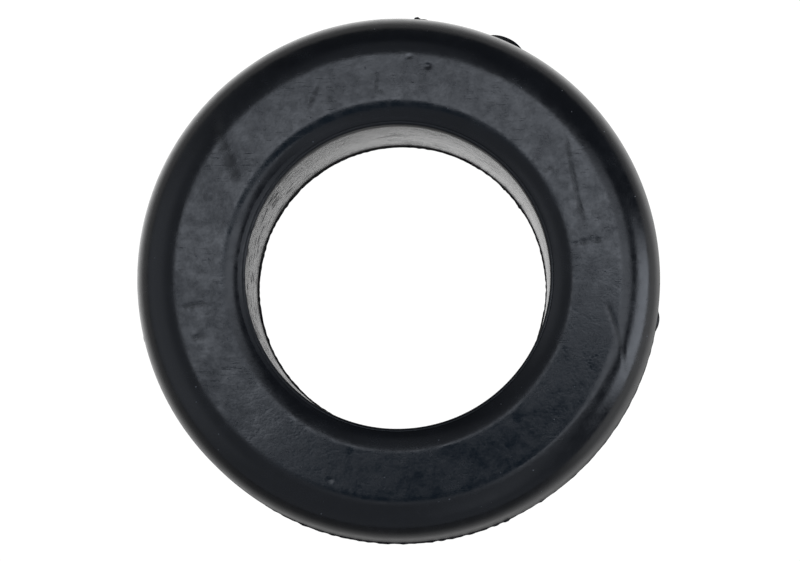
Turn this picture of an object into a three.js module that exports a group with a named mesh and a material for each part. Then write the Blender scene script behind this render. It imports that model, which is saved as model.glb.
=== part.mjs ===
// Rubber ring insulator for electric fence wire.
//
// A thick ring of black rubber, compression moulded in one shot. The fence wire is passed through the
// bore on one side and the tie loop to the post on the other, so the rubber between them carries the
// pull and keeps the live wire off the post. The ring can also be slid over a 1 inch steel tube.
//
// Units are millimetres. +Z is the axis of the ring. The origin is the centre of the face that the
// ring lies on, so the ring fills z = 0 to z = width.

import * as THREE from 'three';

// Driving dimensions
const outsideDiameter = 60; // across the body at mid-width, where it is widest
const boreDiameter = 34.2; // at the lower face, where it is narrowest; clears a 33.7 mm (1 inch) tube
const width = 24; // from one flat face to the other
const shoulderRadius = 4.8; // round between a flat face and the outside wall
const flatFaceInnerRadius = 20.15; // where a flat face starts to roll in towards the bore
const lipRadius = 4.8; // gentle roll from a flat face towards the bore
const mouthEdgeRadius = 0.4; // small round where the roll meets the bore
const wallDraftDegrees = 2; // each half of the outside wall leans in, away from mid-width
const boreDraftDegrees = 0.25; // the bore opens slightly towards the upper face
const partingBeadHeight = 0.15; // the trimmed flash that stands up where the mould halves met
const partingBeadWidth = 0.5;

// Fineness of the faceting
const turnSegments = 80;
const shoulderSteps = 9;
const lipSteps = 6;
const edgeSteps = 3;

// Worked out from the driving dimensions
const outsideRadius = outsideDiameter / 2;
const lowerBoreRadius = boreDiameter / 2;
const middle = width / 2;
const draft = THREE.MathUtils.degToRad(wallDraftDegrees);
const upperBoreRadius = lowerBoreRadius + width * Math.tan(THREE.MathUtils.degToRad(boreDraftDegrees));
const quarterTurn = Math.PI / 2;

// Points along an arc, from the start angle to the end angle, both ends included.
function arcPoints(centreR, centreZ, radius, startAngle, endAngle, steps) {
  const points = [];
  for (let step = 0; step <= steps; step += 1) {
    const angle = startAngle + ((endAngle - startAngle) * step) / steps;
    const r = centreR + radius * Math.cos(angle);
    const z = centreZ + radius * Math.sin(angle);
    points.push(new THREE.Vector2(r, z));
  }
  return points;
}

// The roll from a flat face to the bore. A large arc leaves the face, and a small arc inside it, tangent to
// it and to the bore, rounds the edge of the mouth. The centre of the small arc lies on the line between
// the centre of the large one and the point where the two meet.
function mouthPoints(boreRadius) {
  const lipCentreZ = width - lipRadius;
  const edgeCentreR = boreRadius + mouthEdgeRadius;
  const across = flatFaceInnerRadius - edgeCentreR;
  const meetAngle = Math.PI - Math.acos(across / (lipRadius - mouthEdgeRadius));
  const edgeCentreZ = lipCentreZ + (lipRadius - mouthEdgeRadius) * Math.sin(meetAngle);
  const roll = arcPoints(flatFaceInnerRadius, lipCentreZ, lipRadius, quarterTurn, meetAngle, lipSteps);
  const edge = arcPoints(edgeCentreR, edgeCentreZ, mouthEdgeRadius, meetAngle, Math.PI, edgeSteps);
  return [...roll, ...edge.slice(1)];
}

// One half of the section, from the parting bead over the shoulder and the flat face to the bore.
// The shoulder is tangent to the drafted wall, so its centre follows from where the two must meet.
function halfOfSection(boreRadius) {
  const shoulderCentreZ = width - shoulderRadius;
  const tangentZ = shoulderCentreZ + shoulderRadius * Math.sin(draft);
  const tangentR = outsideRadius - (tangentZ - middle) * Math.tan(draft);
  const shoulderCentreR = tangentR - shoulderRadius * Math.cos(draft);
  const beadFootZ = middle + partingBeadWidth / 2;
  const beadFootR = outsideRadius - (partingBeadWidth / 2) * Math.tan(draft);
  return [
    new THREE.Vector2(beadFootR, beadFootZ),
    ...arcPoints(shoulderCentreR, shoulderCentreZ, shoulderRadius, draft, quarterTurn, shoulderSteps),
    ...mouthPoints(boreRadius),
  ];
}

// The whole closed section: bead crest, upper half, then the lower half, which is turned upside down.
function ringSection() {
  const beadCrest = new THREE.Vector2(outsideRadius + partingBeadHeight, middle);
  const upper = halfOfSection(upperBoreRadius);
  const lower = halfOfSection(lowerBoreRadius)
    .map((point) => new THREE.Vector2(point.x, width - point.y))
    .reverse();
  return [beadCrest, ...upper, ...lower, beadCrest.clone()];
}

function rubberRing() {
  const geometry = new THREE.LatheGeometry(ringSection(), turnSegments);
  geometry.rotateX(quarterTurn);
  const blackRubber = new THREE.MeshStandardMaterial({
    color: 0x1b1d20,
    roughness: 0.42,
    metalness: 0,
  });
  const mesh = new THREE.Mesh(geometry, blackRubber);
  mesh.name = 'rubber_ring';
  return mesh;
}

const group = new THREE.Group();
group.name = 'ring_insulator';
group.add(rubberRing());

export default group;
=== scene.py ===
# %% [markdown]
# # A moulded rubber ring insulator
#
# The object is one thick ring of black rubber. An electric fence hangs a live wire in its bore on one
# side and the tie loop to the post in it on the other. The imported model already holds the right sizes,
# so this lesson makes the things that the plain model leaves out: the thin flash where the mould halves
# met, creases and pits from handling, and a rubber finish that answers to light as the real one does.

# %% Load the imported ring
import math

import bpy
import numpy as np
from mathutils import Matrix, Vector


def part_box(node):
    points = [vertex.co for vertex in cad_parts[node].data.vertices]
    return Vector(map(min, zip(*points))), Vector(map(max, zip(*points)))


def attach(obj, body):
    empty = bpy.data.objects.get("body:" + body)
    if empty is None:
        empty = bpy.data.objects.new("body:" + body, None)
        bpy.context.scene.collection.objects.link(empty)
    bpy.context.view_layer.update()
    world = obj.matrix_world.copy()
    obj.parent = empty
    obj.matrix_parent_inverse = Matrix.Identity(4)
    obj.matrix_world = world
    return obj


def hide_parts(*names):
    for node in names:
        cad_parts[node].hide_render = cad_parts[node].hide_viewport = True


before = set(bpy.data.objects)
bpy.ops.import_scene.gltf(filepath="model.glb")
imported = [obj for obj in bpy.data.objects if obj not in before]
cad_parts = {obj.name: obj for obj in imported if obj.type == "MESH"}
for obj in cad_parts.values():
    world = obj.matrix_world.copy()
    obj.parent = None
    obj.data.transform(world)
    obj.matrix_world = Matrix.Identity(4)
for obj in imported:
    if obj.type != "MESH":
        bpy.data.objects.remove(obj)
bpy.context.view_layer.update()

ring_low, ring_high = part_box("rubber_ring")
print("packed ring, metres:", tuple(ring_low), tuple(ring_high))

# %% [markdown]
# ## Sizes
#
# Blender works in metres, and a moulder thinks in millimetres, so every size below is in millimetres
# and is turned into metres once, when the mesh is written. The width comes from the imported ring. The
# rounds, the draft and the bore are given as numbers, and the print at the end of the cell shows the
# widest point next to that of the imported ring.

# %% Sizes of the ring
MM = 0.001
width = (ring_high.z - ring_low.z) / MM
outside_radius = 30.0
lower_bore_radius = 17.1
shoulder_radius = 4.8
lip_radius = 4.8
face_inner_radius = 20.15
lines_radius = 17.9
edge_radius = 0.4
wall_draft = math.radians(2.0)
bore_draft = math.radians(0.25)
bead_height = 0.15
middle = width / 2

shoulder_centre_z = width - shoulder_radius
wall_top_z = shoulder_centre_z + shoulder_radius * math.sin(wall_draft)
wall_top_r = outside_radius - (wall_top_z - middle) * math.tan(wall_draft)
shoulder_centre_r = wall_top_r - shoulder_radius * math.cos(wall_draft)
upper_bore_radius = lower_bore_radius + width * math.tan(bore_draft)


def mouth(bore_radius):
    """Where the roll from a face meets the small round at the edge of the bore, and that round's centre."""
    edge_r = bore_radius + edge_radius
    across = face_inner_radius - edge_r
    meet = math.pi - math.acos(across / (lip_radius - edge_radius))
    edge_z = width - lip_radius + (lip_radius - edge_radius) * math.sin(meet)
    return meet, edge_r, edge_z


print("flat face from", face_inner_radius, "to", round(shoulder_centre_r, 2), "mm radius")
print("bore opens to", round(upper_bore_radius, 2), "mm radius at the upper face")
print("edge of the mouth at z", round(mouth(upper_bore_radius)[2], 2), "mm")
print("widest point", outside_radius + bead_height, "mm, packed", round(ring_high.x / MM, 3))

# %% [markdown]
# ## The section
#
# A ring is a section swept once round an axis. The section could be drawn as a curve and lathed with a
# modifier, but then every turn of the ring would be the same. Here the section is a list of points, each
# with its outward normal and its unrolled radius, so that each vertex can later be pushed out or in by
# its own amount. The unrolled radius is the distance from the axis measured along the surface: it is the
# plain radius on the flat face, and it goes on growing down the shoulder and shrinking down the lip, so
# a scratch that runs off the face over the shoulder stays one smooth line.

# %% Section points
class Section:
    """Points round the section, from the parting line up and over to the bore, and back underneath."""

    def __init__(self):
        self.rows = []

    def add(self, r, z, normal_angle, unrolled=0.0, fin=0.0):
        across, up = math.cos(normal_angle), math.sin(normal_angle)
        self.rows.append((r, z, across, up, unrolled, fin))

    def straight(self, start, end, normal_angle, steps, unrolled=None):
        for step in range(steps):
            share = step / steps
            r = start[0] + (end[0] - start[0]) * share
            z = start[1] + (end[1] - start[1]) * share
            self.add(r, z, normal_angle, r if unrolled is None else unrolled)

    def round(self, centre, radius, first, last, steps, unrolled_at=None):
        for step in range(steps):
            angle = first + (last - first) * step / steps
            r = centre[0] + radius * math.cos(angle)
            z = centre[1] + radius * math.sin(angle)
            self.add(r, z, angle, unrolled_at(angle) if unrolled_at else 0.0)


QUARTER = math.pi / 2
upper_meet, upper_edge_r, upper_edge_z = mouth(upper_bore_radius)
lower_meet, lower_edge_r, lower_edge_z = mouth(lower_bore_radius)
fin_root = 0.10
fin_edge = 0.035
root_shelf = 0.30
bore_fin_z = 3.1
section = Section()

# upper half of the outside wall, the shoulder and the flat face
section.add(outside_radius, middle + fin_edge, 0.0, fin=1.0)
section.add(outside_radius, middle + fin_root, 0.0)
wall_foot = (outside_radius - root_shelf * math.tan(wall_draft), middle + root_shelf)
wall_top = (wall_top_r, wall_top_z)
section.straight(wall_foot, wall_top, wall_draft, 9, unrolled=0.0)
section.round(
    (shoulder_centre_r, shoulder_centre_z), shoulder_radius, wall_draft, QUARTER, 30,
    lambda angle: shoulder_centre_r + shoulder_radius * (QUARTER - angle),
)
section.straight((shoulder_centre_r, width), (face_inner_radius, width), QUARTER, 24)

# the roll towards the bore, fine where the mould left lines near the mouth, and the small round
roll_centre = (face_inner_radius, width - lip_radius)
lines_from = 2 * QUARTER - math.acos((face_inner_radius - lines_radius) / lip_radius)


def unrolled_roll(angle):
    return face_inner_radius - lip_radius * (angle - QUARTER)


section.round(roll_centre, lip_radius, QUARTER, lines_from, 12, unrolled_roll)
section.round(roll_centre, lip_radius, lines_from, upper_meet, 17, unrolled_roll)
roll_length = lip_radius * (upper_meet - QUARTER)
section.round(
    (upper_edge_r, upper_edge_z), edge_radius, upper_meet, 2 * QUARTER, 12,
    lambda angle: face_inner_radius - roll_length - edge_radius * (angle - upper_meet),
)

# the bore with its thin fin near the far end, and the lower roll
def bore_at(z):
    return lower_bore_radius + z * math.tan(bore_draft)


fin_top = (bore_at(bore_fin_z + root_shelf), bore_fin_z + root_shelf)
section.straight((upper_bore_radius, upper_edge_z), fin_top, math.pi, 24, unrolled=0.0)
section.add(bore_at(bore_fin_z), bore_fin_z + fin_root, math.pi)
section.add(bore_at(bore_fin_z), bore_fin_z + fin_edge, math.pi, fin=-1.0)
section.add(bore_at(bore_fin_z), bore_fin_z - fin_edge, math.pi, fin=-1.0)
section.add(bore_at(bore_fin_z), bore_fin_z - fin_root, math.pi)
section.round((lower_edge_r, width - lower_edge_z), edge_radius, 2 * QUARTER, 4 * QUARTER - lower_meet, 4)
section.round((face_inner_radius, lip_radius), lip_radius, 4 * QUARTER - lower_meet, 3 * QUARTER, 8)

# the face that the ring lies on, the lower shoulder and the lower half of the wall
section.straight((face_inner_radius, 0.0), (shoulder_centre_r, 0.0), 3 * QUARTER, 8, unrolled=0.0)
section.round(
    (shoulder_centre_r, shoulder_radius), shoulder_radius, 3 * QUARTER, 4 * QUARTER - wall_draft, 14
)
lower_top = (wall_top_r, width - wall_top_z)
lower_foot = (wall_foot[0], middle - root_shelf)
section.straight(lower_top, lower_foot, -wall_draft, 6, unrolled=0.0)
section.add(lower_foot[0], lower_foot[1], -wall_draft)
section.add(outside_radius, middle - fin_root, 0.0)
section.add(outside_radius, middle - fin_edge, 0.0, fin=1.0)

points = np.array(section.rows)
print("section points:", len(points))

# %% [markdown]
# ## The turn
#
# The section is repeated at small steps round the ring. Everything below works on a grid with one row
# for each section point and one column for each step of the turn.

# %% Grid of the turn
turn_steps = 560
turn = np.linspace(0.0, 2 * math.pi, turn_steps, endpoint=False)
degrees = np.degrees(turn)
base_r = points[:, 0][:, None]
base_z = points[:, 1][:, None]
normal_r = points[:, 2][:, None]
normal_z = points[:, 3][:, None]
unrolled = points[:, 4][:, None]
fin = points[:, 5][:, None]
print("grid:", len(points), "x", turn_steps)


def turn_noise(seed, lowest, highest):
    """Smooth noise round the ring, about -1 to 1, made of whole waves so that it closes on itself."""
    draw = np.random.default_rng(seed)
    total = np.zeros_like(turn)
    waves = range(lowest, highest + 1)
    for wave in waves:
        total += draw.normal() * np.cos(wave * turn + draw.uniform(0, 2 * math.pi))
    return total / math.sqrt(len(waves))


def hump(centre, half_width, steepness=2.0):
    """A smooth hump round the ring: 1 at its centre, 0 outside half_width. All in degrees."""
    away = (degrees - centre + 180.0) % 360.0 - 180.0
    share = np.clip(1.0 - np.abs(away / half_width) ** steepness, 0.0, 1.0)
    return share


# %% [markdown]
# ## Flash
#
# Rubber creeps into the gap between the mould halves and cures there as a thin fin. On this ring it
# stands up at mid-width and in the bore near the far end. It looks trimmed by hand: a third of the turn
# keeps a low ragged edge, the rest is nearly flush, and a few longer tabs were missed. A separate strip
# of geometry would leave a seam, so the fin is part of the section and only its height changes.

# %% Height of the flash
ragged_from, ragged_to = 238.5, 354.5
ragged_stretch = np.clip(degrees - ragged_from, 0, 1) * np.clip(ragged_to - degrees, 0, 1)
tall_stretch = hump(270.0, 28.0, 6.0)
bumps = np.clip(turn_noise(9, 30, 90) - 1.1, 0, 1) * 0.12
ragged = 0.055 + bumps + 0.11 * tall_stretch + (0.02 + 0.02 * tall_stretch) * turn_noise(3, 60, 190)
flush = 0.02 + 0.006 * turn_noise(5, 5, 60)
flash_height = np.clip(ragged, 0.03, 0.24) * ragged_stretch + flush * (1 - ragged_stretch)

tabs = [
    # centre and half width in degrees, height in mm
    (66.4, 5.9, 1.24),
    (86.3, 1.5, 1.20),
    (84.9, 3.1, 1.00),
    (192.2, 2.2, 0.42),
    (351.4, 2.4, 0.30),
]
for centre, half_width, height in tabs:
    flash_height = np.maximum(flash_height, height * hump(centre, half_width, 2.2))

fin_lean = 0.045 * np.cos(turn - math.radians(150.0))
bore_fin_height = 0.205 + fin_lean + 0.025 * turn_noise(6, 30, 150) + 0.02 * turn_noise(7, 3, 20)
fin_bumps = [
    # centre and half width in degrees, height in mm
    (35.0, 1.6, 0.30),
    (44.5, 1.4, 0.28),
    (138.0, 5.0, 0.29),
]
for centre, half_width, height in fin_bumps:
    bore_fin_height = np.maximum(bore_fin_height, height * hump(centre, half_width))
bore_fin_height = np.clip(bore_fin_height, 0.06, 0.42)
print("flash up to", round(float(flash_height.max()), 2), "mm, bore fin up to",
      round(float(bore_fin_height.max()), 2), "mm")

fin_reach = np.where(fin > 0, flash_height[None, :], 0.0)
fin_reach = fin_reach - np.where(fin < 0, bore_fin_height[None, :], 0.0)
fin_wave = np.abs(fin) * 0.10 * flash_height[None, :] * turn_noise(8, 10, 40)[None, :]

# %% [markdown]
# ## Marks of moulding and handling
#
# Each mark is a line drawn over the unrolled surface, through a few points given as an angle round the
# ring and an unrolled radius. A vertex near the line is pushed in by a soft trench, and the depth of the
# trench is kept as a colour attribute so that the finish can be duller there. A picture could hold such
# marks, but real depth also shows at the edge and in the mesh itself.

# %% Lines over the surface
flat_x = unrolled * np.cos(turn)[None, :]
flat_y = unrolled * np.sin(turn)[None, :]


def smooth_line(through, steps=14):
    """A Catmull-Rom curve through points given as (degrees, unrolled radius), as flat x and y."""
    spots = [
        np.array([radius * math.cos(math.radians(a)), radius * math.sin(math.radians(a))])
        for a, radius in through
    ]
    spots = [2 * spots[0] - spots[1], *spots, 2 * spots[-1] - spots[-2]]
    line = []
    for before, start, end, after in zip(spots, spots[1:], spots[2:], spots[3:]):
        for step in range(steps):
            t = step / steps
            bend = 2 * before - 5 * start + 4 * end - after
            twist = 3 * start - before - 3 * end + after
            line.append(0.5 * (2 * start + (end - before) * t + bend * t * t + twist * t ** 3))
    line.append(spots[-2])
    return np.array(line)


def distance_to(line):
    """Distance in mm from every vertex to a line, and how far along the line the nearest point is."""
    nearest = np.full(flat_x.shape, 1e9)
    along = np.zeros(flat_x.shape)
    parts = len(line) - 1
    for part in range(parts):
        start, step = line[part], line[part + 1] - line[part]
        share = ((flat_x - start[0]) * step[0] + (flat_y - start[1]) * step[1]) / (step @ step)
        share = np.clip(share, 0.0, 1.0)
        away = np.hypot(flat_x - start[0] - share * step[0], flat_y - start[1] - share * step[1])
        closer = away < nearest
        nearest = np.where(closer, away, nearest)
        along = np.where(closer, (part + share) / parts, along)
    return nearest, along


push = np.zeros((len(points), turn_steps))
dulled = np.zeros((len(points), turn_steps))
marked_surface = unrolled > 0.0


def trench(through, depth, half_width, blotches=0.0, seed=1):
    """Presses a soft trench into the rubber along a line and remembers it as dulled rubber."""
    away, along = distance_to(smooth_line(through))
    ragged_edge = 1.0 + 0.30 * np.sin(flat_x * 9.0 + seed) * np.sin(flat_y * 8.0 - seed)
    profile = np.exp(-((away * ragged_edge / half_width) ** 2))
    ends = np.clip(along / 0.2, 0, 1) * np.clip((1 - along) / 0.2, 0, 1)
    draw = np.random.default_rng(seed)
    uneven = np.ones_like(along)
    for wave in (3, 5, 9):
        uneven += blotches * draw.uniform(0.4, 1.0) * np.sin(wave * 6.3 * along + draw.uniform(0, 6.3))
    strength = np.clip(profile * ends * uneven, 0, 1.6) * marked_surface
    push[:] -= depth * strength
    dulled[:] = np.maximum(dulled, np.clip(strength, 0, 1))


trench([(137.8, 27.7), (141.8, 25.6), (146.0, 22.8), (150.5, 20.6)], 0.045, 0.55, 0.35, seed=11)
trench([(335.8, 28.5), (343.0, 26.2), (348.7, 24.6), (353.5, 23.5)], 0.040, 0.22, 0.15, seed=12)
trench([(41.5, 25.3), (34.9, 23.6), (28.1, 22.6), (21.4, 22.0), (13.0, 21.8)], 0.045, 0.17, 0.2, seed=13)
trench([(9.6, 24.0), (9.9, 21.9), (9.7, 19.8)], 0.035, 0.14, 0.5, seed=14)
trench([(96.2, 23.8), (95.9, 22.6), (96.2, 21.3), (93.6, 20.6)], 0.028, 0.13, 0.4, seed=15)
trench([(35.1, 21.5), (35.2, 20.0)], 0.022, 0.13, 0.3, seed=16)
trench([(118.5, 21.2), (115.0, 22.4), (111.5, 23.5)], 0.018, 0.20, 0.5, seed=17)
trench([(197.4, 24.4), (197.6, 22.7)], 0.026, 0.15, 0.3, seed=18)
trench([(188.3, 24.6), (188.5, 21.6)], 0.026, 0.16, 0.3, seed=19)
print("deepest trench", round(float(-push.min()), 3), "mm")

# %% Pits, the mould's own lines and the slow waviness of the surface
def pit(angle, radius, half_width, depth):
    """A small round hollow left by a bubble in the mould."""
    x = radius * math.cos(math.radians(angle))
    y = radius * math.sin(math.radians(angle))
    away = np.hypot(flat_x - x, flat_y - y)
    push[:] -= depth * np.exp(-((away / half_width) ** 2)) * marked_surface


pit(81.6, 23.9, 0.24, 0.10)
pit(86.6, 24.8, 0.18, 0.06)
pit(252.0, 24.2, 0.18, 0.05)


def mould_line(at_radius, height, half_width):
    """A raised line round the ring at an unrolled radius, where two pieces of the mould met."""
    away = (unrolled - at_radius) / half_width
    push[:] += height * np.exp(-(away ** 2)) * marked_surface


# the fine line round the mouth, steeper towards the bore than towards the face
crease_at = 17.34
crease_depth = 0.10
face_side_width = 0.06
bore_side_width = 0.035
from_crease = unrolled - crease_at
crease_slope = np.where(from_crease >= 0, from_crease / face_side_width, -from_crease / bore_side_width)
crease = np.exp(-crease_slope) * marked_surface
push -= crease_depth * crease * (1.0 + 0.12 * turn_noise(22, 4, 60)[None, :])

# the core pin stood a little off centre, so the mouth of the bore does too
pin_offset = 0.085
pin_lean = pin_offset * np.cos(turn - math.radians(-60.0))[None, :]
bore_share = np.clip((base_z - 8.0) / 12.0, 0.0, 1.0)
face_share = np.clip((21.5 - base_r) / 2.5, 0.0, 1.0)
mouth_shift = pin_lean * bore_share * face_share * (fin == 0)

# a faint line where an insert met the mould, on the front right of the face
insert_centre = 317.0
insert_stretch = hump(insert_centre, 20.0, 8.0)[None, :]
insert_line = shoulder_centre_r + 0.75 + 0.018 * (degrees[None, :] - insert_centre)
mould_line(insert_line, 0.016 * insert_stretch, 0.20)

# the slow waviness of the whole skin
slow_turn = turn_noise(31, 2, 14)[None, :]
slow_across = np.sin(unrolled * 0.9 + 2.0 * turn_noise(32, 1, 5)[None, :])
push += (0.007 * slow_turn + 0.004 * slow_across) * (fin == 0)
print("push from", round(float(push.min()), 3), "to", round(float(push.max()), 3), "mm")

# %% [markdown]
# ## The mesh
#
# The grid now becomes vertices and four-sided faces. Rows and columns both close on themselves, so the
# result is one watertight skin. It also gets a flat map, with the turn along one side and the way round
# the section along the other, which is the natural way to lay out a ring.

# %% Build the ring
def build_ring():
    """The moulded ring as one closed mesh object."""
    at_rest = fin == 0
    r = base_r + normal_r * push * at_rest + mouth_shift + fin_reach
    z = base_z + normal_z * push * at_rest + fin_wave
    z = np.clip(z, 0.0, width)
    rows, columns = r.shape
    corners = np.stack([r * np.cos(turn), r * np.sin(turn), z], axis=-1).reshape(-1, 3) * MM

    row = np.repeat(np.arange(rows), columns)
    column = np.tile(np.arange(columns), rows)
    next_row = (row + 1) % rows
    next_column = (column + 1) % columns
    quads = np.stack(
        [
            row * columns + column,
            row * columns + next_column,
            next_row * columns + next_column,
            next_row * columns + column,
        ],
        axis=-1,
    )

    mesh = bpy.data.meshes.new("moulded_ring")
    mesh.vertices.add(len(corners))
    mesh.vertices.foreach_set("co", corners.ravel())
    mesh.loops.add(quads.size)
    mesh.loops.foreach_set("vertex_index", quads.ravel().astype(np.int32))
    mesh.polygons.add(len(quads))
    mesh.polygons.foreach_set("loop_start", np.arange(0, quads.size, 4, dtype=np.int32))
    mesh.update(calc_edges=True)
    mesh.polygons.foreach_set("use_smooth", np.ones(len(quads), dtype=bool))

    wear = mesh.attributes.new("wear", "FLOAT", "POINT")
    wear.data.foreach_set("value", dulled.ravel().astype(np.float32))

    to_next = np.roll(points[:, :2], -1, axis=0) - points[:, :2]
    steps_between = np.hypot(to_next[:, 0], to_next[:, 1])
    run = np.concatenate([[0.0], np.cumsum(steps_between)])
    run /= run[-1]
    u = np.stack([column, column + 1, column + 1, column], axis=-1) / columns
    v = np.stack([run[row], run[row], run[row + 1], run[row + 1]], axis=-1)
    flat_map = mesh.uv_layers.new(name="OFBake")
    flat_map.data.foreach_set("uv", np.stack([u, v], axis=-1).ravel())

    mesh.validate()
    ring = bpy.data.objects.new("moulded_ring", mesh)
    bpy.context.scene.collection.objects.link(ring)
    return ring


ring = build_ring()
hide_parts("rubber_ring")
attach(ring, "root")
print("ring:", len(ring.data.vertices), "vertices,", len(ring.data.polygons), "faces")

# %% [markdown]
# ## A small kit for shader nodes
#
# A procedural finish is a recipe of many small steps. Placing each node by hand is slow to read, so this
# helper adds a node, fills its inputs with numbers or with other nodes' results, and hands back its
# output.

# %% Node helper
class Recipe:
    """Adds nodes to a node tree. Inputs may be plain numbers, colours or the outputs of other nodes."""

    def __init__(self, tree):
        self.tree = tree
        tree.nodes.clear()

    def node(self, kind, inputs, **settings):
        made = self.tree.nodes.new(kind)
        for name, value in settings.items():
            setattr(made, name, value)
        for key, value in inputs.items():
            if isinstance(value, bpy.types.NodeSocket):
                self.tree.links.new(value, made.inputs[key])
            else:
                made.inputs[key].default_value = value
        return made

    def math(self, operation, *values):
        inputs = dict(enumerate(values))
        return self.node("ShaderNodeMath", inputs, operation=operation).outputs[0]

    def ramp(self, value, low, high, at_low=0.0, at_high=1.0):
        """A smooth step from at_low to at_high as value goes from low to high."""
        inputs = {"Value": value, "From Min": low, "From Max": high, "To Min": at_low, "To Max": at_high}
        return self.node("ShaderNodeMapRange", inputs, interpolation_type="SMOOTHSTEP").outputs[0]

    def noise(self, where, scale, detail=2.0, roughness=0.5):
        inputs = {"Vector": where, "Scale": scale, "Detail": detail, "Roughness": roughness}
        return self.node("ShaderNodeTexNoise", inputs).outputs["Fac"]

    def vector(self, x, y, z):
        return self.node("ShaderNodeCombineXYZ", {"X": x, "Y": y, "Z": z}).outputs[0]

    def parts(self, vector):
        return self.node("ShaderNodeSeparateXYZ", {"Vector": vector}).outputs

    def blend(self, share, first, second):
        inputs = {0: share, 6: first, 7: second}
        return self.node("ShaderNodeMix", inputs, data_type="RGBA").outputs[2]

    def dot(self, vector, direction):
        inputs = {0: vector, 1: direction}
        return self.node("ShaderNodeVectorMath", inputs, operation="DOT_PRODUCT").outputs["Value"]


# %% [markdown]
# ## The rubber
#
# Carbon black makes the rubber take in nearly all the light that enters it. What the eye sees is almost
# only the shine: a faint mirror image of the room, strong where the surface is seen at a shallow angle,
# as in the bore. So the colour can stay nearly flat, and the work goes into the shine. Slow patches of
# bloom, fine grain, hairline scratches, tool streaks in the bore and dust all change how rough the
# surface is or tip it slightly.

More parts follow.
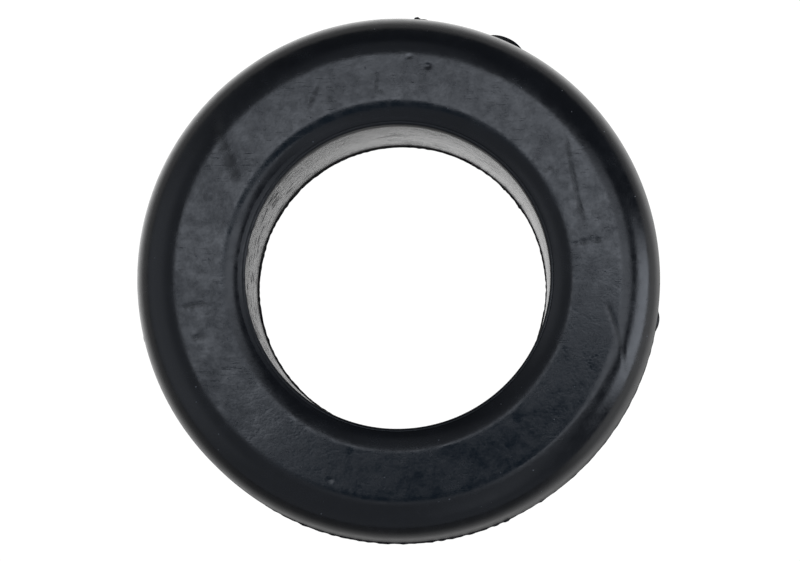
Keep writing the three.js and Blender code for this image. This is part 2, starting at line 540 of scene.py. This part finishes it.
# %% Black rubber
def black_rubber():
    material = bpy.data.materials.new("black_rubber")
    material.use_nodes = True
    recipe = Recipe(material.node_tree)

    place = recipe.node("ShaderNodeTexCoord", {}).outputs["Object"]
    in_mm = recipe.node(
        "ShaderNodeVectorMath", {0: place, "Scale": 1 / MM}, operation="SCALE"
    ).outputs[0]
    x, y, z = recipe.parts(in_mm)
    x_squared = recipe.math("MULTIPLY", x, x)
    y_squared = recipe.math("MULTIPLY", y, y)
    radius = recipe.math("SQRT", recipe.math("ADD", x_squared, y_squared))
    round_x = recipe.math("DIVIDE", x, radius)
    round_y = recipe.math("DIVIDE", y, radius)
    in_bore = recipe.ramp(radius, upper_bore_radius + 0.05, upper_bore_radius + 0.3, 1.0, 0.0)
    wear = recipe.node("ShaderNodeAttribute", {}, attribute_name="wear").outputs["Fac"]

    # slow patches of bloom and fine grain
    patches = recipe.ramp(recipe.noise(in_mm, 0.28, 3.0, 0.55), 0.35, 0.68)
    mottle = recipe.noise(in_mm, 0.9, 3.0, 0.5)
    grain = recipe.noise(in_mm, 3.6, 2.0, 0.5)

    # hairline scratches: noise drawn out along three directions, of which only the crests are kept
    scratches = 0.0
    for angle, shift in ((8.0, 3.0), (52.0, 7.0), (97.0, 11.0), (141.0, 19.0)):
        turned = recipe.node(
            "ShaderNodeMapping",
            {
                "Vector": in_mm,
                "Location": (shift, shift * 0.7, 0.0),
                "Rotation": (0.0, 0.0, math.radians(angle)),
                "Scale": (0.45, 7.0, 0.6),
            },
        ).outputs[0]
        crest = recipe.ramp(recipe.noise(turned, 1.0, 3.0, 0.6), 0.64, 0.74)
        scratches = recipe.math("ADD", scratches, crest)
    scratched = recipe.ramp(recipe.noise(in_mm, 0.21, 2.0, 0.5), 0.45, 0.62)
    scratches = recipe.math("MULTIPLY", scratches, scratched)

    # streaks left in the bore by the core pin: long round the ring, thin along it
    streak_place = recipe.vector(
        recipe.math("MULTIPLY", round_x, 14.0),
        recipe.math("MULTIPLY", round_y, 14.0),
        recipe.math("MULTIPLY", z, 3.6),
    )
    streaks = recipe.noise(streak_place, 1.0, 4.0, 0.62)
    rub_place = recipe.vector(
        recipe.math("MULTIPLY", round_x, 4.5),
        recipe.math("MULTIPLY", round_y, 4.5),
        recipe.math("MULTIPLY", z, 0.35),
    )
    rubbed = recipe.ramp(recipe.noise(rub_place, 1.0, 5.0, 0.65), 0.53, 0.72)

    # short dull dashes, strongest on the left wall of the bore
    dash_place = recipe.vector(
        recipe.math("MULTIPLY", round_x, 10.0),
        recipe.math("MULTIPLY", round_y, 10.0),
        recipe.math("MULTIPLY", z, 0.75),
    )
    dashes = recipe.ramp(recipe.noise(dash_place, 1.0, 3.0, 0.6), 0.53, 0.64)
    dashes = recipe.math("MULTIPLY", dashes, recipe.ramp(round_x, -0.85, -0.50, 1.0, 0.06))

    # the edge of the mouth, dulled on the far side and along the left of the lip
    far_side = recipe.math("MULTIPLY_ADD", round_x, 0.26, recipe.math("MULTIPLY", round_y, 0.966))
    far_rub = recipe.math("MULTIPLY", recipe.ramp(far_side, 0.1, 0.7), recipe.ramp(z, 20.2, 22.3))
    left_side = recipe.ramp(round_x, -0.7, -0.2, 1.0, 0.0)
    left_rub = recipe.math("MULTIPLY", left_side, recipe.ramp(z, 22.6, 23.0))
    mouth_rub = recipe.math("MAXIMUM", far_rub, left_rub)
    mouth_rub = recipe.math("MULTIPLY", mouth_rub, recipe.ramp(radius, 17.75, 18.1, 1.0, 0.0))

    # dust: a few small light grains
    cells = recipe.node(
        "ShaderNodeTexVoronoi", {"Vector": in_mm, "Scale": 0.85, "Randomness": 1.0}, feature="F1"
    )
    chosen = recipe.math("GREATER_THAN", recipe.parts(cells.outputs["Color"])[0], 0.72)
    near_centre = recipe.ramp(cells.outputs["Distance"], 0.04, 0.09, 1.0, 0.0)
    dust = recipe.math("MULTIPLY", chosen, near_centre)

    deep_black = (0.0046, 0.0056, 0.0078, 1.0)
    bloomed_black = (0.0070, 0.0084, 0.0115, 1.0)
    rubbed_black = (0.0120, 0.0120, 0.0118, 1.0)
    dust_grey = (0.10, 0.11, 0.125, 1.0)
    colour = recipe.blend(recipe.math("MULTIPLY", patches, mottle), deep_black, bloomed_black)
    colour = recipe.blend(recipe.math("MULTIPLY", wear, 0.5), colour, rubbed_black)
    colour = recipe.blend(dust, colour, dust_grey)

    rough = recipe.math("MULTIPLY_ADD", patches, 0.06, 0.175)
    rough = recipe.math("ADD", rough, recipe.math("MULTIPLY", recipe.math("SUBTRACT", mottle, 0.5), 0.26))
    rough = recipe.math("ADD", rough, recipe.math("MULTIPLY", recipe.math("SUBTRACT", grain, 0.5), 0.08))
    rough = recipe.math("ADD", rough, recipe.math("MULTIPLY", scratches, 0.10))
    rough = recipe.math("ADD", rough, recipe.math("MULTIPLY", wear, 0.13))
    rough = recipe.math("ADD", rough, recipe.math("MULTIPLY", dust, 0.4))
    bore_rough = recipe.math("MULTIPLY_ADD", streaks, 0.14, 0.14)
    bore_rough = recipe.math("ADD", bore_rough, recipe.math("MULTIPLY", rubbed, 0.10))
    bore_rough = recipe.math("ADD", bore_rough, recipe.math("MULTIPLY", dashes, 0.27))
    rough = recipe.node(
        "ShaderNodeMix", {0: in_bore, 2: rough, 3: bore_rough}, data_type="FLOAT"
    ).outputs[0]
    rough = recipe.math("ADD", rough, recipe.math("MULTIPLY", mouth_rub, 0.30))

    # heights in micrometres, added up and given to one bump
    height = recipe.math("MULTIPLY", grain, 3.5)
    height = recipe.math("ADD", height, recipe.math("MULTIPLY", mottle, 9.0))
    height = recipe.math("SUBTRACT", height, recipe.math("MULTIPLY", scratches, 2.0))
    height = recipe.math("ADD", height, recipe.math("MULTIPLY", dust, 20.0))
    left_wall = recipe.ramp(round_x, -0.9, 0.2, 40.0, 16.0)
    bore_height = recipe.math("MULTIPLY", streaks, left_wall)
    bore_height = recipe.math("ADD", bore_height, recipe.math("MULTIPLY", rubbed, 6.0))
    height = recipe.math("ADD", height, recipe.math("MULTIPLY", bore_height, in_bore))
    bump = recipe.node("ShaderNodeBump", {"Height": height, "Strength": 1.0, "Distance": 1e-6})

    skin = recipe.node(
        "ShaderNodeBsdfPrincipled",
        {
            "Base Color": colour,
            "Roughness": rough,
            "IOR": 1.5,
            "Normal": bump.outputs[0],
        },
    )
    recipe.node("ShaderNodeOutputMaterial", {"Surface": skin.outputs[0]})
    return material


ring.data.materials.append(black_rubber())
print("rubber nodes:", len(ring.data.materials[0].node_tree.nodes))

# %% [markdown]
# ## The table
#
# Small black parts are often shown on a lit white table, which leaves no shadow and draws a bright line
# round every edge. The table here glows. To the eye it is plain white. The light that it throws on the
# ring is strongest a little way out and fades with distance, and it is brighter on some sides than on
# others. Close round the ring's foot and under the bore it is darkened as painted shadow of the ring.
# That unevenness isn't measured from any real table: it was tuned by trial, together with the studio,
# until the ring mirrored the right tones.

# %% Light table
def table_top():
    half = 3.0
    corners = [(-half, -half, 0), (half, -half, 0), (half, half, 0), (-half, half, 0)]
    mesh = bpy.data.meshes.new("light_table")
    mesh.from_pydata(corners, [], [(0, 1, 2, 3)])
    table = bpy.data.objects.new("light_table", mesh)
    table.location.z = -0.00005
    bpy.context.scene.collection.objects.link(table)

    material = bpy.data.materials.new("lit_white")
    material.use_nodes = True
    recipe = Recipe(material.node_tree)
    place = recipe.node("ShaderNodeTexCoord", {}).outputs["Object"]
    in_mm = recipe.node("ShaderNodeVectorMath", {0: place, "Scale": 1 / MM}, operation="SCALE").outputs[0]
    x, y, z = recipe.parts(in_mm)
    away = recipe.node("ShaderNodeVectorMath", {0: in_mm}, operation="LENGTH").outputs["Value"]
    near = recipe.ramp(away, 38.0, 90.0, 1.0, 0.0)
    falloff_and_contact_shadow = recipe.math("MULTIPLY_ADD", near, 0.74, 0.37)
    falloff_and_contact_shadow = recipe.math("MULTIPLY", falloff_and_contact_shadow, recipe.ramp(away, 150.0, 700.0, 1.0, 0.5))
    # painted contact shadow: the light thrown on the ring is darker close round the ring's foot
    falloff_and_contact_shadow = recipe.math("MULTIPLY", falloff_and_contact_shadow, recipe.ramp(away, 29.0, 43.0, 0.36, 1.0))
    reach = recipe.math("MAXIMUM", away, 25.0)

    # brighter towards the back left, with a broad and a narrow glow at the right
    towards = recipe.math("DIVIDE", recipe.dot(in_mm, (-0.42, 0.906, 0.0)), reach)
    uneven = recipe.ramp(towards, -0.85, 0.8, 0.40, 1.28)
    thrown_light_and_shade = recipe.math("MULTIPLY", falloff_and_contact_shadow, uneven)
    broad = recipe.ramp(recipe.math("DIVIDE", recipe.dot(in_mm, (0.98, 0.20, 0.0)), reach), 0.0, 1.0)
    broad = recipe.math("MULTIPLY", broad, recipe.ramp(away, 38.0, 55.0, 0.0, 0.28))
    broad = recipe.math("MULTIPLY", broad, recipe.ramp(away, 75.0, 130.0, 1.0, 0.2))
    narrow = recipe.ramp(recipe.math("DIVIDE", recipe.dot(in_mm, (0.97, -0.26, 0.0)), reach), 0.76, 0.98)
    narrow = recipe.math("MULTIPLY", narrow, recipe.ramp(away, 60.0, 120.0, 0.0, 0.50))
    thrown_light_and_shade = recipe.math("ADD", thrown_light_and_shade, recipe.math("ADD", broad, narrow))

    # the part seen through the bore, darkened as painted shade of the ring: darkest in the middle, darker
    # again under the edge of the bore, and a little lighter towards the right
    hole_painted_shade = recipe.ramp(away, 13.4, 15.5, 0.20, 1.0)
    bore_edge_painted_shadow = recipe.ramp(away, 16.5, 17.2, 1.0, 0.75)
    hole_light_and_painted_shade = recipe.math("MULTIPLY", hole_painted_shade, bore_edge_painted_shadow)
    across_hole = recipe.math("DIVIDE", x, 17.0)
    hole_light_and_painted_shade = recipe.math("MULTIPLY", hole_light_and_painted_shade, recipe.math("MULTIPLY_ADD", across_hole, 0.12, 1.0))
    in_hole = recipe.math("LESS_THAN", away, 20.0)
    thrown_light_and_shade = recipe.node("ShaderNodeMix", {0: in_hole, 2: thrown_light_and_shade, 3: hole_light_and_painted_shade}, data_type="FLOAT").outputs[0]
    seen = recipe.node("ShaderNodeLightPath", {}).outputs["Is Camera Ray"]
    strength = recipe.node("ShaderNodeMix", {0: seen, 2: thrown_light_and_shade, 3: 1.05}, data_type="FLOAT").outputs[0]
    glow = recipe.node("ShaderNodeEmission", {"Color": (1, 1, 1, 1), "Strength": strength})
    recipe.node("ShaderNodeOutputMaterial", {"Surface": glow.outputs[0]})
    mesh.materials.append(material)
    return table


table_top()

# %% [markdown]
# ## The studio
#
# What a shiny black part shows is its surroundings, so the studio is built from what should be mirrored:
# a wide soft box overhead with the dark camera in the middle of it, a tall soft box at the right, a
# dim fill at the left and front, and dark walls behind. They are drawn in the world's background, where
# soft edges cost no noise.

# %% Soft boxes in the world
def aim(azimuth, zenith):
    """A unit direction. Azimuth turns from +X towards +Y, and zenith is measured down from +Z."""
    a, b = math.radians(azimuth), math.radians(zenith)
    return Vector((math.cos(a) * math.sin(b), math.sin(a) * math.sin(b), math.cos(b)))


def soft_box(recipe, looking, centre, side, half_side, half_up, soft, strength):
    """A rectangle of light as seen from the ring. Half sizes are tangents of angles."""
    side = (side - centre * side.dot(centre)).normalized()
    up = centre.cross(side)
    ahead = recipe.dot(looking, centre)
    depth = recipe.math("MAXIMUM", ahead, 0.02)
    light = recipe.ramp(ahead, 0.02, 0.10)
    for axis, half in ((side, half_side), (up, half_up)):
        across = recipe.math("ABSOLUTE", recipe.math("DIVIDE", recipe.dot(looking, axis), depth))
        edge = recipe.ramp(across, half - soft, half + soft, 1.0, 0.0)
        light = recipe.math("MULTIPLY", light, edge)
    return recipe.math("MULTIPLY", light, strength)


def studio():
    world = bpy.data.worlds.new("studio")
    world.use_nodes = True
    bpy.context.scene.world = world
    recipe = Recipe(world.node_tree)
    looking = recipe.node("ShaderNodeTexCoord", {}).outputs["Generated"]

    east = Vector((1, 0, 0))
    overhead_centre = Vector((0.235, -0.02, 1.0)).normalized()
    overhead_side = aim(20.0, 90.0)
    overhead = soft_box(recipe, looking, overhead_centre, overhead_side, 0.42, 0.235, 0.09, 1.62)
    stand_centre = Vector((-0.12, -0.22, 1.0)).normalized()
    stand = soft_box(recipe, looking, stand_centre, east, 0.28, 0.24, 0.06, 0.78)
    overhead = recipe.math("MULTIPLY", overhead, recipe.math("SUBTRACT", 1.0, stand))
    core_centre = Vector((0.0, 0.11, 1.0)).normalized()
    core = soft_box(recipe, looking, core_centre, east, 0.16, 0.08, 0.07, 1.75)
    tail_centre = Vector((-0.05, 0.55, 1.0)).normalized()
    tail = soft_box(recipe, looking, tail_centre, east, 0.16, 0.30, 0.16, 0.20)
    front_glow = soft_box(recipe, looking, aim(300.0, 42.0), east, 0.16, 0.42, 0.16, 0.22)
    overhead = recipe.math("ADD", overhead, core)
    overhead = recipe.math("ADD", overhead, recipe.math("ADD", tail, front_glow))
    upright = Vector((0, 0, 1))
    right_box = soft_box(recipe, looking, aim(-6.0, 73.0), upright, 0.34, 0.32, 0.14, 3.0)
    left_box = soft_box(recipe, looking, aim(185.0, 62.0), upright, 0.42, 0.55, 0.25, 0.25)

    fill = recipe.ramp(recipe.dot(looking, aim(225.0, 90.0)), -0.35, 0.30, 0.085, 0.31)
    boxes = recipe.math("ADD", overhead, right_box)
    rise = recipe.math("ADD", boxes, recipe.math("ADD", left_box, fill))
    cool = (0.92, 0.985, 1.10, 1.0)
    shown = recipe.node("ShaderNodeLightPath", {}).outputs["Is Camera Ray"]
    tint = recipe.blend(shown, cool, (1.0, 1.0, 1.0, 1.0))
    strength = recipe.node("ShaderNodeMix", {0: shown, 2: rise, 3: 1.0}, data_type="FLOAT").outputs[0]
    backdrop = recipe.node("ShaderNodeBackground", {"Color": tint, "Strength": strength})
    recipe.node("ShaderNodeOutputWorld", {"Surface": backdrop.outputs[0]})


def camera_hood(centre):
    """The dark camera and its hood, which the ring mirrors as a dark patch in the overhead light. The hood
    glows faintly blue, so that patch is a painted bluish reflection.
    """
    hood_radius = 0.077
    steps = 48
    spots = []
    for step in range(steps):
        angle = 2 * math.pi * step / steps
        spots.append((hood_radius * math.cos(angle), hood_radius * math.sin(angle), 0))
    mesh = bpy.data.meshes.new("camera_hood")
    mesh.from_pydata(spots, [], [list(range(steps))])
    hood = bpy.data.objects.new("camera_hood", mesh)
    hood.location = centre
    hood.visible_camera = False
    bpy.context.scene.collection.objects.link(hood)
    material = bpy.data.materials.new("hood_faint_glow")
    material.use_nodes = True
    recipe = Recipe(material.node_tree)
    # a faint blue glow, not a lamp: the ring mirrors it as a painted bluish reflection in the dark patch
    faint_blue_glow = recipe.node("ShaderNodeEmission", {"Color": (0.45, 0.92, 1.45, 1), "Strength": 0.13})
    recipe.node("ShaderNodeOutputMaterial", {"Surface": faint_blue_glow.outputs[0]})
    mesh.materials.append(material)


studio()
hood_centre = Vector((21.0, -46.5, 415.0)) * MM
camera_hood(hood_centre)
print("studio ready")

# %% [markdown]
# ## The camera
#
# The ring lies flat and the camera looks down at it from almost straight above, a little to the front
# and to the right, so the far wall of the bore shows. A long lens from 0.4 m keeps the near and the far
# rim almost the same size. The distance was fitted to the chosen width of the ring: a narrower ring seen
# from closer by would show its two rims in nearly the same proportion.

# %% Camera
camera_distance = 396.5
camera_elevation = math.radians(85.06)
camera_azimuth = math.radians(19.47)
aim_point = Vector((0.0, 0.31, middle)) * MM
back = Vector(
    (
        math.sin(camera_azimuth) * math.cos(camera_elevation),
        -math.cos(camera_azimuth) * math.cos(camera_elevation),
        math.sin(camera_elevation),
    )
)
right = Vector((0, 1, 0)).cross(back).normalized()
above = back.cross(right)
lens = bpy.data.cameras.new("camera")
lens.sensor_width = 36.0
lens.lens = 153.98
lens.clip_start = 0.01
camera = bpy.data.objects.new("camera", lens)
turned = Matrix((right, above, back)).transposed().to_4x4()
camera.matrix_world = Matrix.Translation(aim_point + back * camera_distance * MM) @ turned
bpy.context.scene.collection.objects.link(camera)
bpy.context.scene.camera = camera
bpy.context.scene.view_settings.view_transform = "Standard"
bpy.context.scene.view_settings.look = "None"
print("camera at", tuple(round(v, 4) for v in camera.location))
